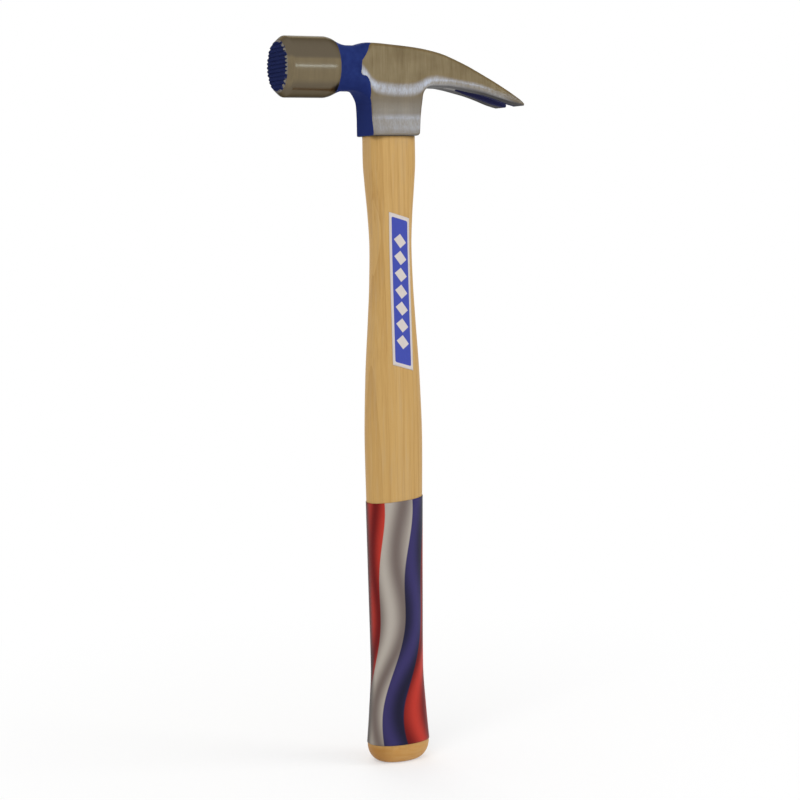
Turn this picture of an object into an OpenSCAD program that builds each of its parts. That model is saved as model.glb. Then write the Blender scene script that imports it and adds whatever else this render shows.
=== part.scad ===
// Framing hammer: a forged steel head with a milled face and straight rip claws,
// wedged onto an oval hickory handle that carries a label and a printed grip film.
// Millimetres. The origin is the middle of the butt's end, +Z runs up the handle,
// -X is the striking side, +X is the claw side and the label is on the -Y side.

/* [Whole tool] */
// Length from the butt to the crown of the head
tool_length = 432; // [415:1:450]
// Height of the head, from the foot of its skirt to the crown
head_height = 53.5; // [51:0.5:56]

/* [Bell] */
// Diameter of the bell
bell_d = 35.4; // [34:0.2:37]
// Distance from the handle's axis to the striking face
face_reach = 70.4; // [66:0.2:74]
// Length of the bell behind the face, up to its shoulder
bell_length = 28.4; // [24:0.2:29]
// Length of the shoulder that runs down from the bell to the neck
shoulder_length = 13.6; // [12:0.2:15]
// Depth of the bell's axis under the crown
bell_drop = 13.6; // [13:0.2:14]
// Width of the bevel round the striking face
face_bevel = 3.6; // [2.8:0.1:4.4]
// Length of that bevel along the bell
bevel_length = 4.2; // [3.2:0.1:5]
// Pitch of the milled teeth
tooth_pitch = 2.3; // [2:0.1:3]
// Depth of the grooves between the teeth
tooth_depth = 1; // [0.6:0.1:1.3]
// Width of the flat top on each tooth
tooth_flat = 0.7; // [0.4:0.1:1]

/* [Neck] */
// Height of the neck
neck_height = 26.3; // [25:0.1:27.5]
// Width of the neck
neck_width = 23.4; // [22.6:0.2:24.6]
// Depth of the neck's top under the crown
neck_dip = 0.9; // [0.4:0.1:1.5]
// Radius along the edges of the neck
neck_round = 9; // [7.6:0.2:9.4]

/* [Cheeks and skirt] */
// Width over the ground cheeks
cheek_width = 25; // [24.6:0.2:27]
// Distance from the handle's axis to the front of the cheek pads
cheek_front = 21.7; // [20:0.1:23]
// Distance from the handle's axis to the skirt's front, at its foot
skirt_front = 15; // [14.8:0.1:16]
// Distance from the handle's axis to the skirt's back, at its foot
skirt_back = 16; // [15.8:0.1:17]
// How far the skirt's front leans out, from its foot to the neck
front_lean = 0.8; // [0.4:0.1:1.2]
// How far the skirt's back leans out, from its foot to the claws
back_lean = 2.4; // [1.6:0.1:3]
// Radius between the neck and the skirt
front_fillet = 8.3; // [6:0.1:9]
// Radius between the skirt and the claws
back_fillet = 6.5; // [5:0.1:8]
// Depth of the hollow waist in each cheek
waist_depth = 1.3; // [0.6:0.1:1.5]
// Rise of the crown between the cheeks
crown_arch = 1; // [0.5:0.1:1.3]
// Radius along the ground edges
edge_round = 1.3; // [0.8:0.1:1.6]
// Radius of the skirt's lower back corner
foot_round = 2.3; // [1.6:0.1:2.8]

/* [Claws] */
// Distance from the handle's axis to the claw tips
claw_reach = 83.2; // [78:0.2:90]
// Depth of the claw tips under the crown
claw_drop = 35.9; // [32:0.1:38]
// Depth of the claws' underside at the skirt, under the crown
claw_root_drop = 24.5; // [23.6:0.1:25.6]
// Width over both claw tips
claw_spread = 37.4; // [34:0.2:40]
// Thickness of the claw tips
tip_thickness = 1.7; // [0.8:0.1:2]
// Radius along the claws' lower outer edges
claw_round = 2.4; // [1.6:0.1:3]
// Length of the nail slot
slot_length = 45; // [38:0.5:49]
// Width of the nail slot at the claw tips
slot_mouth = 8.6; // [7:0.1:9.4]
// Width of the nail slot at its closed end
slot_root = 1.8; // [1.2:0.1:2.6]
// Bevel along the nail slot, on the side of the handle
slot_bevel = 2.6; // [1.4:0.1:3]

/* [Eye] */
// Length of the eye at its mouth
eye_length = 27.2; // [25:0.2:27.6]
// Width of the eye at its mouth
eye_width = 18.8; // [17:0.2:19.4]
// How much smaller the eye is at its waist
eye_waist = 1.6; // [0.8:0.1:2]

/* [Handle] */
// Length of the butt's oval
butt_length = 39; // [38:0.2:41]
// Width of the butt's oval
butt_width = 26.8; // [26:0.2:28]
// Height of the rounding under the butt
butt_round = 11; // [9:0.5:11.4]
// Gap between the wood and the eye
wood_fit = 0.08; // [0.05:0.01:0.12]
// Depth of the tenon's end under the crown
tenon_dip = 0.4; // [0.2:0.1:0.8]

/* [Wedges] */
// Thickness of the wooden wedge at its head
wood_wedge_thick = 4.4; // [3.6:0.1:5]
// Thickness of the wooden wedge at its tip
wood_wedge_tip = 0.9; // [0.7:0.1:1.3]
// Length of the wooden wedge
wood_wedge_length = 31; // [26:0.5:34]
// Thickness of each steel wedge at its head
steel_wedge_thick = 2.8; // [2.2:0.1:3.2]
// Thickness of each steel wedge at its tip
steel_wedge_tip = 0.6; // [0.5:0.1:0.9]
// Length of each steel wedge
steel_wedge_length = 17; // [14:0.5:19]
// Width of each steel wedge
steel_wedge_width = 12; // [10:0.5:13]
// Distance from the eye's middle to each steel wedge
steel_wedge_offset = 6.4; // [5.6:0.1:7]
// Turn of each steel wedge out of square, in degrees
steel_wedge_turn = 14; // [0:1:20]
// Gap round each wedge
wedge_fit = 0.06; // [0.04:0.01:0.1]

/* [Label] */
// Width of the label
label_width = 13.6; // [12:0.2:16]
// Length of the label along the handle
label_length = 90.5; // [80:0.5:110]
// How much lower the label lies on the claw side
label_skew = 4.1; // [0:0.1:6]
// Distance from the skirt's foot down to the label
label_drop = 44.5; // [40:0.5:60]
// Distance from the handle's axis to the label's middle, towards the claws
label_offset = 1.9; // [0:0.1:2.6]
// Thickness of the label
label_thick = 0.15; // [0.1:0.01:0.25]

/* [Grip film] */
// Distance from the butt to the film's lower edge
film_start = 12; // [11.5:0.5:16]
// Length of the film along the handle
film_length = 148; // [120:1:170]
// How much higher the film's upper edge is on the claw side
film_tilt = 3.3; // [0:0.1:5]
// Thickness of the film
film_thick = 0.25; // [0.15:0.05:0.4]

/* [Hidden] */

// How far cuts run past what they cut
overrun = 2;
// Gap between the label or the film and the wood under it
skin_fit = 0.08;
// Squareness of the eye's section, where 2 is an ellipse
eye_squareness = 3.4;
// Faces round a section of the handle
wood_faces = 36;
// Facets of a rounded edge of the head
edge_facets = 3;
// Facets of a true round
$fn = 96;

crown_z = tool_length;
foot_z = crown_z - head_height;
bell_z = crown_z - bell_drop;
bell_r = bell_d / 2;
bell_back = face_reach - bell_length;
neck_top = crown_z - neck_dip;
neck_low = neck_top - neck_height;
neck_start = skirt_front + front_lean + front_fillet;
claw_start = skirt_back + back_lean + back_fillet;
claw_low = crown_z - claw_root_drop;
slot_end = claw_reach - slot_length;
eye_x = (skirt_back - skirt_front) / 2;

// Shoulder of the bell: length shares against radius shares
shoulder_shares = [
    [0, 1], [0.2, 0.975], [0.38, 0.925], [0.55, 0.845],
    [0.7, 0.77], [0.85, 0.69], [1, 0.6]
];
// Neck stations, from the bell to the front fillet
neck_shares = [0, 0.5, 0.8];
// Stations between the skirt's front and back
cheek_shares = [0.1, 0.25, 0.4, 0.55, 0.7, 0.85, 1];
// Stations up the skirt, from its rounded foot to the cheeks
skirt_shares = [0, 0.12, 0.24, 0.36, 0.48, 0.6, 0.72, 0.84, 1];
// Claw stations, as shares of the reach past the skirt
claw_station_shares = [0.1, 0.2, 0.3, 0.4, 0.5, 0.6, 0.7, 0.8, 0.88, 0.95, 0.98, 1];
// Top of the claws: reach shares against shares of the fall from the crown
claw_top_shares = [
    [0.18, 0.043], [0.34, 0.12], [0.52, 0.293], [0.67, 0.482],
    [0.81, 0.674], [0.95, 0.893], [1, 1]
];
// Underside of the claws: reach shares against shares of the fall from their root
claw_under_shares = [
    [0.425, 0.01], [0.505, 0.088], [0.605, 0.235], [0.71, 0.405],
    [0.81, 0.61], [0.91, 0.84], [1, 1]
];
// Sides of the claws: reach shares against shares of the spread beyond the cheeks
claw_side_shares = [[0.22, 0], [0.4, 0.17], [0.55, 0.39], [0.72, 0.66], [0.88, 0.89], [0.965, 1], [1, 0.88]];
// Waist of the cheeks: height shares of the skirt against shares of the waist's depth
waist_shares = [[0, 0.2], [0.2, 0.5], [0.4, 0.95], [0.55, 1], [0.75, 0.85], [1, 0.5]];
// Corners of the cheek pads, round at the neck and square at the skirt
pad_shares = [[0, 1], [0.55, 0.42], [1, 0]];
// Largest part of a section's height that a rounded edge may take
round_limit_share = 0.3;
// Handle: height shares against length shares, width shares, squareness and shift shares
handle_shares = [
    [0.03, 1, 1, 2.2, 0],
    [0.08, 0.914, 0.963, 2.2, 0],
    [0.155, 0.826, 0.905, 2.2, 0],
    [0.28, 0.858, 0.896, 2.2, 0],
    [0.42, 0.896, 0.936, 2.2, 0.2],
    [0.52, 0.922, 0.948, 2.2, 0.5],
    [0.62, 0.86, 0.925, 2.25, 0.7],
    [0.71, 0.744, 0.858, 2.3, 0.9],
    [0.77, 0.672, 0.81, 2.35, 1],
    [0.83, 0.64, 0.772, 2.45, 1],
    [0.875, 0.675, 0.765, 2.65, 1],
    [0.925, 0.745, 0.776, 3, 1],
    [0.96, 0.776, 0.786, 3.4, 1],
    [1, 0.767, 0.798, 3.6, 1]
];
// Largest part of a section's height that the arch of the crown may take
arch_limit_share = 0.2;
// Part of the butt's half-length that its rounding takes off
butt_round_share = 0.45;
// Stations of the eye, from the foot to the crown
eye_shares = [0, 0.17, 0.33, 0.5, 0.67, 0.83, 1];

// Slope of a table's column at row i, level where the column turns round
function slope(table, i, c) =
    let (
        last = len(table) - 1,
        a = max(i, 1),
        b = min(i + 1, last),
        before = (table[a][c] - table[a - 1][c]) / (table[a][0] - table[a - 1][0]),
        after = (table[b][c] - table[b - 1][c]) / (table[b][0] - table[b - 1][0])
    )
    before * after <= 0 ? 0 : 2 * before * after / (before + after);

// A table's column between rows i and i + 1, at share t of the way
function between(table, i, c, t) =
    let (span = table[i + 1][0] - table[i][0])
    table[i][c] * (1 + 2 * t) * pow(1 - t, 2)
        + table[i + 1][c] * (3 - 2 * t) * t * t
        + slope(table, i, c) * span * t * pow(1 - t, 2)
        - slope(table, i + 1, c) * span * t * t * (1 - t);

// A table's column at x, on a smooth curve through its rows
function smooth(table, x, c = 1, i = 0) =
    x <= table[0][0] ? table[0][c]
    : x >= table[len(table) - 1][0] ? table[len(table) - 1][c]
    : x > table[i + 1][0] ? smooth(table, x, c, i + 1)
    : between(table, i, c, (x - table[i][0]) / (table[i + 1][0] - table[i][0]));

// Crown line of the head, sides in plan, and radius along the crown's edges
tip_fall = claw_drop - tip_thickness;
top_line = concat(
    [[-bell_back, neck_top], [-neck_start, neck_top], [-skirt_front, crown_z + neck_dip], [0, crown_z]],
    [for (p = claw_top_shares) [p[0] * claw_reach, crown_z - p[1] * tip_fall]]
);
plan_line = concat(
    [[-bell_back, neck_width / 2], [-neck_start, neck_width / 2], [-cheek_front, cheek_width / 2]],
    [for (p = claw_side_shares) [p[0] * claw_reach, (cheek_width + p[1] * (claw_spread - cheek_width)) / 2]]
);
under_line = concat(
    [[claw_start, claw_low]],
    [for (p = claw_under_shares) [p[0] * claw_reach, claw_low - p[1] * (claw_drop - claw_root_drop)]]
);
edge_line = [
    for (p = pad_shares)
        [-cheek_front + p[0] * (cheek_front - skirt_front), edge_round + p[1] * (neck_round - edge_round)]
];

// Right half of the forging's section at x, up from the middle of its underside
function half_section(x, low, low_round) =
    let (
        high = smooth(top_line, x),
        edge = high - min(crown_arch, (high - low) * arch_limit_share),
        limit = (edge - low) * round_limit_share,
        upper = min(smooth(edge_line, x), limit),
        lower = min(low_round, limit),
        y = smooth(plan_line, x),
        turn = [for (k = [0 : edge_facets]) 90 * k / edge_facets]
    )
    concat(
        [[0, low]],
        [for (a = turn) [y - lower * (1 - sin(a)), low + lower * (1 - cos(a))]],
        [for (a = turn) [y - upper * (1 - cos(a)), edge - upper * (1 - sin(a))]],
        [for (s = [1 / 2, 0]) [s * (y - upper), high - s * s * (high - edge)]]
    );

// Whole section at x: the right half and its mirror image
function section(x, low, low_round) =
    let (half = half_section(x, low, low_round), top = len(half) - 1)
    concat([for (p = half) [x, p[0], p[1]]], [for (i = [top - 1 : -1 : 1]) [x, -half[i][0], half[i][1]]]);

// Stations along the forging's underside, each an x, a height and a lower edge radius
neck_stations = [for (s = neck_shares) [-bell_back + s * (bell_back - neck_start), neck_low, neck_round]];
front_stations = [
    for (a = [0 : 15 : 90])
        [front_fillet * sin(a) - neck_start, neck_low - front_fillet * (1 - cos(a)), neck_round]
];
cheek_stations = [
    for (s = cheek_shares)
        [
            s * (skirt_back + skirt_front) - skirt_front,
            neck_low - front_fillet + s * (claw_low - back_fillet - neck_low + front_fillet),
            neck_round + s * (edge_round - neck_round)
        ]
];
root_stations = [
    for (a = [0 : 15 : 90])
        [
            claw_start - back_fillet * cos(a),
            claw_low - back_fillet * (1 - sin(a)),
            edge_round + (claw_round - edge_round) * a / 90
        ]
];
claw_stations = [
    for (s = claw_station_shares)
        let (x = claw_start + s * (claw_reach - claw_start))
        [x, smooth(under_line, x), claw_round]
];

// Section of the skirt at a height: a long box with round corners
function skirt_section(z) =
    let (
        rise = z - foot_z,
        corner = max(foot_round - rise, 0),
        front = -skirt_front - front_lean * min(rise / (neck_low - front_fillet - foot_z), 1),
        back = skirt_back + back_lean * min(rise / (claw_low - back_fillet - foot_z), 1)
            - foot_round + sqrt(foot_round * foot_round - corner * corner),
        y = cheek_width / 2 - waist_depth * smooth(waist_shares, rise / (neck_low - foot_z)),
        turn = [for (k = [0 : edge_facets]) 90 * k / edge_facets]
    )
    concat(
        [for (a = turn) [back - foot_round * (1 - cos(a)), y - foot_round * (1 - sin(a)), z]],
        [for (a = turn) [front + edge_round * (1 - sin(a)), y - edge_round * (1 - cos(a)), z]],
        [for (a = turn) [front + edge_round * (1 - cos(a)), edge_round * (1 - sin(a)) - y, z]],
        [for (a = turn) [back - foot_round * (1 - sin(a)), foot_round * (1 - cos(a)) - y, z]]
    );

// Skin through a list of rings, with end faces, or closed on itself like a tyre
module loft(rings, closed = false) {
    n = len(rings[0]);
    m = len(rings);
    sides = [
        for (i = [0 : closed ? m - 1 : m - 2], j = [0 : n - 1])
            let (a = i * n + j, b = i * n + (j + 1) % n, c = (a + n) % (m * n), d = (b + n) % (m * n))
            each [[a, d, b], [a, c, d]]
    ];
    ends = closed ? [] : [[for (j = [0 : n - 1]) j], [for (j = [n : -1 : 1]) (m - 1) * n + j % n]];
    polyhedron([for (r = rings) each r], concat(ends, sides), convexity = 10);
}

// Neck, cheeks and claws, lofted from the bell to the claw tips
module forging() {
    stations = concat(neck_stations, front_stations, cheek_stations, root_stations, claw_stations);
    loft([for (s = stations) section(s[0], s[1], s[2])]);
}

// Skirt round the eye, lofted from its foot up into the cheeks
module skirt() {
    foot_corner = [for (a = [0 : 30 : 60]) foot_z + foot_round * (1 - cos(a))];
    wall = [for (s = skirt_shares) foot_z + foot_round + s * (neck_low + edge_round - foot_z - foot_round)];
    loft([for (z = concat(foot_corner, wall)) skirt_section(z)]);
}

// Bell with its bevelled rim and the shoulder behind it
module bell_blank() {
    translate([0, 0, bell_z])
        rotate([0, 90, 0])
            rotate_extrude()
                polygon(concat(
                    [
                        [0, -face_reach],
                        [bell_r - face_bevel, -face_reach],
                        [bell_r, bevel_length - face_reach]
                    ],
                    [for (p = shoulder_shares) [bell_r * p[1], p[0] * shoulder_length - bell_back]],
                    [[0, shoulder_length - bell_back]]
                ));
}

// One groove of the milled face, straight across it
module tooth_groove() {
    half = (tooth_pitch - tooth_flat) / 2;
    linear_extrude(height = bell_d + overrun, center = true)
        polygon([
            [tooth_depth - face_reach, 0],
            [-face_reach, half],
            [-face_reach - overrun, half],
            [-face_reach - overrun, -half],
            [-face_reach, -half]
        ]);
}

// Two crossing sets of grooves, which leave rows of teeth with one on the bell's axis
module milled_grooves() {
    count = ceil(bell_r / tooth_pitch);
    translate([0, 0, bell_z])
        for (turn = [0, 90], k = [-count : count - 1])
            rotate([turn, 0, 0])
                translate([0, (k + 1 / 2) * tooth_pitch, 0])
                    tooth_groove();
}

// Half-width of the nail slot at x
function slot_y(x) = (slot_root + (slot_mouth - slot_root) * (x - slot_end) / slot_length) / 2;

// Nail slot: a tapering slit with a bevel along its lower edges
module nail_slot() {
    far_x = claw_reach + overrun;
    translate([0, 0, crown_z - claw_drop - overrun])
        linear_extrude(height = claw_drop + 2 * overrun)
            polygon([
                [slot_end, -slot_y(slot_end)],
                [far_x, -slot_y(far_x)],
                [far_x, slot_y(far_x)],
                [slot_end, slot_y(slot_end)]
            ]);
    loft([
        for (s = [0, 1 / 4, 1 / 2, 3 / 4, 1])
            let (
                x = slot_end + s * (far_x - slot_end),
                low = smooth(under_line, x),
                bevel = min(slot_bevel, (smooth(top_line, x) - low) * round_limit_share),
                y = slot_y(x)
            )
            [
                [x, -y - bevel - overrun, low - overrun],
                [x, y + bevel + overrun, low - overrun],
                [x, y, low + bevel],
                [x, -y, low + bevel]
            ]
    ]);
}

// Section of an oval: half-length, half-width and squareness, centred at x and z
function oval(length, width, squareness, x, z) = [
    for (k = [0 : wood_faces - 1])
        let (c = cos(360 * k / wood_faces), s = sin(360 * k / wood_faces))
        [
            x + length * sign(c) * pow(abs(c), 2 / squareness),
            width * sign(s) * pow(abs(s), 2 / squareness),
            z
        ]
];

// Section of the eye at share t of the head's height, drawn in by a gap
function eye_section(t, gap) =
    let (waist = eye_waist / 2 * (1 - pow(2 * min(max(t, 0), 1) - 1, 2)) + gap)
    oval(eye_length / 2 - waist, eye_width / 2 - waist, eye_squareness, eye_x, foot_z + t * head_height);

// Height of the tenon's end at x, which follows the crown's slope
function tenon_z(x) =
    let (half = eye_length / 2, front = smooth(top_line, eye_x - half), back = smooth(top_line, eye_x + half))
    (front + back) / 2 - crown_arch + (x - eye_x) * (back - front) / eye_length - tenon_dip;

// Sections of the tenon, the last one level with the crown
function tenon_sections(gap) = [
    for (t = eye_shares)
        [for (p = eye_section(t, gap)) [p[0], p[1], t < 1 ? max(p[2], foot_z - wood_fit) : tenon_z(p[0])]]
];

// Eye, open at the foot and at the crown
module eye() {
    past = overrun / head_height;
    loft([for (t = concat([-past], eye_shares, [1 + past])) eye_section(t, 0)]);
}

// Half-length, half-width, squareness and shift of the handle at a height
function wood_size(z) =
    let (
        t = z / foot_z,
        rise = max(butt_round - z, 0) / butt_round,
        scale = 1 - butt_round_share * (1 - sqrt(1 - rise * rise))
    )
    [
        butt_length / 2 * scale * smooth(handle_shares, t, 1),
        butt_width / 2 * scale * smooth(handle_shares, t, 2),
        smooth(handle_shares, t, 3),
        eye_x * smooth(handle_shares, t, 4)
    ];

// Section of the handle at a height
function wood_section(z) = let (w = wood_size(z)) oval(w[0], w[1], w[2], w[3], z);

// Height stations of the handle, from the butt to the shoulder under the head
wood_stations = concat(
    [for (a = [0 : 15 : 75]) butt_round * (1 - cos(a))],
    [for (s = [0 : 1 / 36 : 1]) butt_round + s * (foot_z - wood_fit - butt_round)]
);

// Tapered blade that cuts a kerf or makes a wedge: flat across X, point down
module blade(thick, tip, length, width, gap) {
    rotate([90, 0, 90])
        linear_extrude(height = width + 2 * gap, center = true)
            polygon([
                [-tip / 2 - gap, crown_z - length - gap],
                [tip / 2 + gap, crown_z - length - gap],
                [thick / 2 + gap, crown_z + overrun],
                [-thick / 2 - gap, crown_z + overrun]
            ]);
}

module wood_blade(gap) {
    translate([eye_x, 0, 0])
        blade(wood_wedge_thick, wood_wedge_tip, wood_wedge_length, eye_length, gap);
}

// Steel blade on one side of the eye's middle: -1 to the face, 1 to the claws
module steel_blade(side, gap) {
    translate([eye_x + side * steel_wedge_offset, 0, 0])
        rotate([0, 0, 90 + side * steel_wedge_turn])
            blade(steel_wedge_thick, steel_wedge_tip, steel_wedge_length, steel_wedge_width, gap);
}

// A place on the near side of the handle, raised off the wood
function near_place(x, z, raise) =
    let (w = wood_size(z), t = min(abs(x - w[3]) / (w[0] + raise), 1))
    [x, -(w[1] + raise) * pow(1 - pow(t, w[2]), 1 / w[2]), z];

// A place on the handle at an angle round it, raised off the wood
function round_place(k, z, raise) =
    let (w = wood_size(z))
    oval(w[0] + raise, w[1] + raise, w[2], w[3], z)[k];

module head() {
    color("slategray")
        difference() {
            union() {
                forging();
                skirt();
                difference() {
                    bell_blank();
                    milled_grooves();
                }
            }
            eye();
            nail_slot();
        }
}

module handle() {
    color("burlywood")
        difference() {
            loft(concat([for (z = wood_stations) wood_section(z)], tenon_sections(wood_fit)));
            wood_blade(wedge_fit);
            for (side = [-1, 1])
                steel_blade(side, wedge_fit);
        }
}

module wood_wedge() {
    color("peru")
        difference() {
            intersection() {
                wood_blade(0);
                loft(tenon_sections(wood_fit + wedge_fit));
            }
            for (side = [-1, 1])
                steel_blade(side, wedge_fit);
        }
}

module steel_wedge(side) {
    color("dimgray")
        intersection() {
            steel_blade(side, 0);
            loft(tenon_sections(wood_fit));
        }
}

module front_steel_wedge() {
    steel_wedge(-1);
}

module back_steel_wedge() {
    steel_wedge(1);
}

// Label: a slanted strip that lies round the near side of the wood
module label() {
    top_z = foot_z - label_drop;
    across = [0 : 1 / 8 : 1];
    color("royalblue")
        loft([
            for (v = [0 : 1 / 10 : 1])
                concat(
                    [
                        for (u = across)
                            near_place(
                                label_offset + (u - 1 / 2) * label_width,
                                top_z - u * label_skew - v * label_length,
                                skin_fit
                            )
                    ],
                    [
                        for (u = across)
                            near_place(
                                label_offset + (1 / 2 - u) * label_width,
                                top_z - (1 - u) * label_skew - v * label_length,
                                skin_fit + label_thick
                            )
                    ]
                )
        ]);
}

// Film: a thin sleeve shrunk round the grip, with a slanted upper edge
module grip_film() {
    rises = [0 : 1 / 14 : 1];
    color("firebrick")
        loft([
            for (k = [0 : wood_faces - 1])
                let (length = film_length + film_tilt / 2 * cos(360 * k / wood_faces))
                concat(
                    [for (v = rises) round_place(k, film_start + v * length, skin_fit)],
                    [for (v = rises) round_place(k, film_start + (1 - v) * length, skin_fit + film_thick)]
                )
        ], true);
}

head();
handle();
wood_wedge();
front_steel_wedge();
back_steel_wedge();
label();
grip_film();
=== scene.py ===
# Framing hammer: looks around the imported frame, in metres
import math

import bpy
import numpy as np
from mathutils import Matrix, Vector


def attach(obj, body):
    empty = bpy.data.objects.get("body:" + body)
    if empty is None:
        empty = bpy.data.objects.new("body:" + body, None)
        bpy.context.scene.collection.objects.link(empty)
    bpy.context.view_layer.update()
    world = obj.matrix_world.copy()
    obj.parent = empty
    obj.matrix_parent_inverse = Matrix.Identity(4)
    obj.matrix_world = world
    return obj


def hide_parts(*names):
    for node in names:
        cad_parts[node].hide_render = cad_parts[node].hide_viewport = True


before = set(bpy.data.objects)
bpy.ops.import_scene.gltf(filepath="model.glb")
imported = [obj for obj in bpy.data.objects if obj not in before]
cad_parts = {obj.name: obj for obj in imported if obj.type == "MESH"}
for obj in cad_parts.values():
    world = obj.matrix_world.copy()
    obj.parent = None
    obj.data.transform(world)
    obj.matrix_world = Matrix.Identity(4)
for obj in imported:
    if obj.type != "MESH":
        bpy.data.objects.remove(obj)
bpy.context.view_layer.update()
print("frame loaded")

mm = 0.001               # the tables below are in millimetres where they don't say metres


# Lines and distances shared by the pieces

def smoothLine(table, x, column=1):          # smooth curve through a table's rows
    rows = np.asarray(table, float)
    xs, ys = rows[:, 0], rows[:, column]
    rise = np.diff(ys) / np.diff(xs)
    before, after = np.append(rise[:1], rise), np.append(rise, rise[-1:])
    alike = before * after > 0
    slope = np.where(alike, 2 * before * after / np.where(alike, before + after, 1), 0)
    x = np.clip(x, xs[0], xs[-1])
    i = np.clip(np.searchsorted(xs, x, side="right") - 1, 0, len(xs) - 2)
    span = xs[i + 1] - xs[i]
    t = (x - xs[i]) / span
    return (ys[i] * (1 + 2 * t) * (1 - t) ** 2 + ys[i + 1] * (3 - 2 * t) * t * t
            + slope[i] * span * t * (1 - t) ** 2 - slope[i + 1] * span * t * t * (1 - t))


def outlineDistance(points, x, z):           # distance to a closed outline, negative inside it
    x, z = np.broadcast_arrays(x, z)
    best, inside = np.full(x.shape, 1e9), np.zeros(x.shape, bool)
    for (ax, az), (bx, bz) in zip(points, points[1:] + points[:1]):
        ex, ez = bx - ax, bz - az
        t = np.clip(((x - ax) * ex + (z - az) * ez) / (ex * ex + ez * ez), 0, 1)
        best = np.minimum(best, (x - ax - t * ex) ** 2 + (z - az - t * ez) ** 2)
        if bz != az:
            inside ^= ((az > z) != (bz > z)) & (x < ax + (z - az) / (bz - az) * ex)
    return np.sqrt(best) * np.where(inside, -1, 1)


def arcPoints(x, z, radius, start, end, count=9):
    turn = np.radians(np.linspace(start, end, count))
    return [(x + radius * math.cos(a), z + radius * math.sin(a)) for a in turn]


def ramp(x, low, high):                      # 0 below low, 1 above high, smooth between
    t = np.clip((x - low) / (high - low), 0, 1)
    return t * t * (3 - 2 * t)


def roundMeet(a, b, r):                      # two bodies' common part, with its edge rounded
    outside = np.hypot(np.maximum(a + r, 0), np.maximum(b + r, 0))
    return np.minimum(np.maximum(a + r, b + r), 0) + outside - r


def softJoin(a, b, r):                       # two bodies together, with a fillet between them
    h = np.maximum(r - np.abs(a - b), 0) / r
    return np.minimum(a, b) - h * h * r / 4


# Forged head: one skin over a field of distances

head = {
    "crown": 432, "foot": 378.5, "axis": 418.4, "reach": 83.2, "voxel": 0.58,
    "low": (-72.1, -20.9, 376.1), "high": (85.4, 20.9, 438.4), "cutFront": 46, "headroom": 30,
    "face": 70.4, "bellRadius": 17.7, "bellBack": 42, "shoulder": 13.6, "joinFillet": 3.0,
    "rim": 3.6, "rimLength": 4.2, "rimRound": 0.5, "faceRound": 0.15,
    "neckTop": 431.1, "neckLow": 404.8, "neckHalf": 11.7, "neckStart": 24.1, "neckRound": 9,
    "neckRoundUp": (390, 409), "skirtRound": 1.4, "skirtFront": 15, "skirtBack": 16, "backLean": 2.4,
    "frontFillet": 8.3, "backFillet": 6.5, "frontFoot": 0.8, "backFoot": 2.3,
    "cheekHalf": 12.5, "cheekFront": 21.7, "cheekRise": 0.9, "arch": 1.0, "edge": 1.2,
    "waist": 1.3, "waistFront": (-24, -17), "waistBack": (17, 27),
    "clawFall": 34.2, "clawLow": 407.5, "underFall": 11.4, "spreadHalf": 18.7, "clawEdge": 3.2,
    "clawEdgeAlong": (16, 26), "clawEdgeUp": (396, 404),
    "slotEnd": 38.2, "slotRoot": 0.9, "slotMouth": 4.3, "slotBevel": 2.6, "slotRound": 0.2,
    "eyeHalfLength": 13.6, "eyeHalfWidth": 9.4, "eyeWaist": 0.8, "eyeSquareness": 3.4, "eyeShift": 0.5,
    "eyeRound": 0.45,
}
thinShares = {"arch": 0.2, "bevel": 0.3, "topEdge": 0.3, "lowEdge": 0.32}    # of the metal's height
teeth = {
    "pitch": 2.3, "depth": 1.0, "flat": 0.7, "root": 0.25, "rows": 15, "reach": 15.2, "wear": 0.06, "seed": 3,
}

crown, foot, reach = head["crown"], head["foot"], head["reach"]
skirtTop = head["neckLow"] - head["frontFillet"]
faceFloor = head["face"] - teeth["depth"]
clawStart = head["skirtBack"] + head["backLean"] + head["backFillet"]
clawDeep = 25                                # nominal height of the steel before the claws

topLine = [
    (-head["bellBack"], head["neckTop"]), (-head["neckStart"], head["neckTop"]),
    (-head["skirtFront"], crown + head["cheekRise"]), (0, crown),
] + [
    (s * reach, crown - f * head["clawFall"]) for s, f in [
        (0.18, 0.043), (0.34, 0.12), (0.52, 0.293), (0.67, 0.482), (0.81, 0.674), (0.95, 0.893), (1, 1)]
]
planLine = [
    (-head["bellBack"], head["neckHalf"]), (-head["neckStart"], head["neckHalf"]),
    (-head["cheekFront"], head["cheekHalf"]),
] + [
    (s * reach, head["cheekHalf"] + f * (head["spreadHalf"] - head["cheekHalf"])) for s, f in [
        (0.22, 0), (0.4, 0.17), (0.55, 0.39), (0.72, 0.66), (0.88, 0.89), (0.965, 1), (1, 0.88)]
]
underLine = [(clawStart, head["clawLow"])] + [
    (s * reach, head["clawLow"] - f * head["underFall"]) for s, f in [
        (0.425, 0.01), (0.505, 0.088), (0.605, 0.235), (0.71, 0.405), (0.81, 0.61), (0.91, 0.84), (1, 1)]
]
edgeLine = [
    (-head["cheekFront"], head["neckRound"]), (-18, 4.2), (-head["skirtFront"], head["edge"]),
]
waistLine = [(0, 0.15), (0.2, 0.5), (0.4, 0.95), (0.55, 1), (0.7, 0.86), (0.9, 0.42), (1.12, 0)]
rimSlope = head["rim"] / head["rimLength"]
floorRim = head["bellRadius"] - head["rim"] + rimSlope * teeth["depth"]
bellLine = [(-head["face"], head["bellRadius"]), (-head["bellBack"], head["bellRadius"])] + [
    (s * head["shoulder"] - head["bellBack"], f * head["bellRadius"]) for s, f in [
        (0.2, 0.975), (0.38, 0.925), (0.55, 0.845), (0.7, 0.77), (0.85, 0.69), (1, 0.6), (1.6, 0.1)]
]
sky = crown + head["headroom"]
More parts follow.
